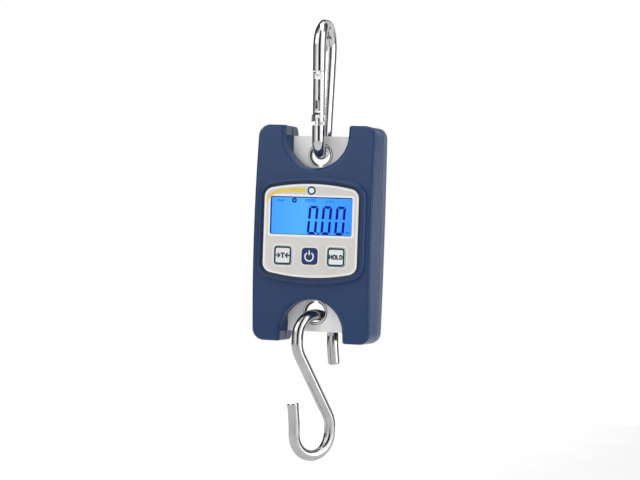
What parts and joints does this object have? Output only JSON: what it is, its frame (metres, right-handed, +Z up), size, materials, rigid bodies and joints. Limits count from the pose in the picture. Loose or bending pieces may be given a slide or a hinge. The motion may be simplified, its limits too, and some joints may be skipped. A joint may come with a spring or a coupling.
{
  "type": "hanging crane scale",
  "caption": "Hand-held hanging scale: plastic housing with display and keys, plates in notched ends, snap hook above, S-hook below.",
  "frame": {"origin": "the hang point: the top of the snap hook opening, straight above both load holes", "axes": "+Z up along the load line, -Y the display side, +X to the right as the display is read"},
  "size_m": [0.0726, 0.0338, 0.2542],
  "materials": {
    "snap_steel": "polished wire, bright with soft die lines",
    "gate_steel": "polished bar",
    "rivet_steel": "peened rivet",
    "spring_steel": "blued spring leaf",
    "bush_steel": "turned, satin",
    "navy_front": "moulded, fine satin grain",
    "navy_rear": "moulded, fine satin grain",
    "panel_print": "printed polyester film",
    "window_clear": "clear acrylic",
    "lcd_blue": "blue display, dark segments",
    "light_white": "diffusing white",
    "frame_black": "black",
    "board_green": "solder mask",
    "switch_dark": "black cases",
    "cell_aluminium": "machined",
    "sealant": "white sealant",
    "lead_red": "insulated leads",
    "lead_black": "insulated leads",
    "plate_zinc": "light satin plating",
    "screw_steel": "zinc-plated screws",
    "cell_wrap": "plain green sleeve",
    "contact_brass": "plated strip",
    "key_white": "white caps",
    "key_navy": "navy cap",
    "hook_steel": "polished wire"
  },
  "bodies": {
    "snap": {"snap_hook": "snap_steel", "gate_rivet": "rivet_steel"},
    "gate": {"gate": "gate_steel", "gate_spring": "spring_steel"},
    "upper_bush": {"upper_bush": "bush_steel"},
    "housing": {"front_shell": "navy_front", "rear_shell": "navy_rear", "panel": "panel_print", "display_window": "window_clear", "lcd_glass": "lcd_blue", "backlight": "light_white", "lcd_frame": "frame_black", "main_board": "board_green", "key_switches": "switch_dark", "load_cell": "cell_aluminium", "gauge_seal": "sealant", "cell_leads": "lead_red", "power_leads": "lead_black", "upper_plate": "plate_zinc", "lower_plate": "plate_zinc", "cell_screws": "screw_steel", "board_screws": "screw_steel", "shell_screws": "screw_steel", "battery_1": "cell_wrap", "battery_2": "cell_wrap", "battery_3": "cell_wrap", "battery_contacts": "contact_brass", "battery_springs": "spring_steel"},
    "tare_key": {"tare_key": "key_white"},
    "power_key": {"power_key": "key_navy"},
    "hold_key": {"hold_key": "key_white"},
    "battery_cover": {"battery_cover": "navy_rear"},
    "lower_bush": {"lower_bush": "bush_steel"},
    "s_hook": {"s_hook": "hook_steel"}
  },
  "joints": [
    {"name": "gate_hinge", "type": "hinge", "parent": "snap", "child": "gate", "pos_m": [0.00064, -0.00917, -0.05021], "axis": [-0.9976, -0.0698, 0], "range_deg": [0, 28], "stiffness_Nm_per_rad": 0.08, "springref_deg": -20.05},
    {"name": "fore_aft_swing", "type": "hinge", "parent": "snap", "child": "upper_bush", "pos_m": [0, 0, -0.06175], "axis": [0.9976, 0.0698, 0], "range_deg": [-40, 40]},
    {"name": "side_swing", "type": "hinge", "parent": "upper_bush", "child": "housing", "pos_m": [0, 0, -0.07125], "axis": [0, 1, 0], "range_deg": [-30, 30]},
    {"name": "tare_press", "type": "slide", "parent": "housing", "child": "tare_key", "axis": [0, 1, 0], "range_m": [0, 0.0005], "stiffness_N_per_m": 1500, "springref_m": -0.0004},
    {"name": "power_press", "type": "slide", "parent": "housing", "child": "power_key", "axis": [0, 1, 0], "range_m": [0, 0.0005], "stiffness_N_per_m": 1500, "springref_m": -0.0004},
    {"name": "hold_press", "type": "slide", "parent": "housing", "child": "hold_key", "axis": [0, 1, 0], "range_m": [0, 0.0005], "stiffness_N_per_m": 1500, "springref_m": -0.0004},
    {"name": "cover_tilt", "type": "hinge", "parent": "housing", "child": "battery_cover", "pos_m": [0, 0.0157, -0.14395], "axis": [-1, 0, 0], "range_deg": [0, 35]},
    {"name": "hook_side_swing", "type": "hinge", "parent": "housing", "child": "lower_bush", "pos_m": [0, 0, -0.16105], "axis": [0, 1, 0], "range_deg": [-13, 13]},
    {"name": "hook_swing", "type": "hinge", "parent": "lower_bush", "child": "s_hook", "pos_m": [0, 0, -0.1753], "axis": [-0.8192, 0.5736, 0], "range_deg": [-40, 40]}
  ]
}
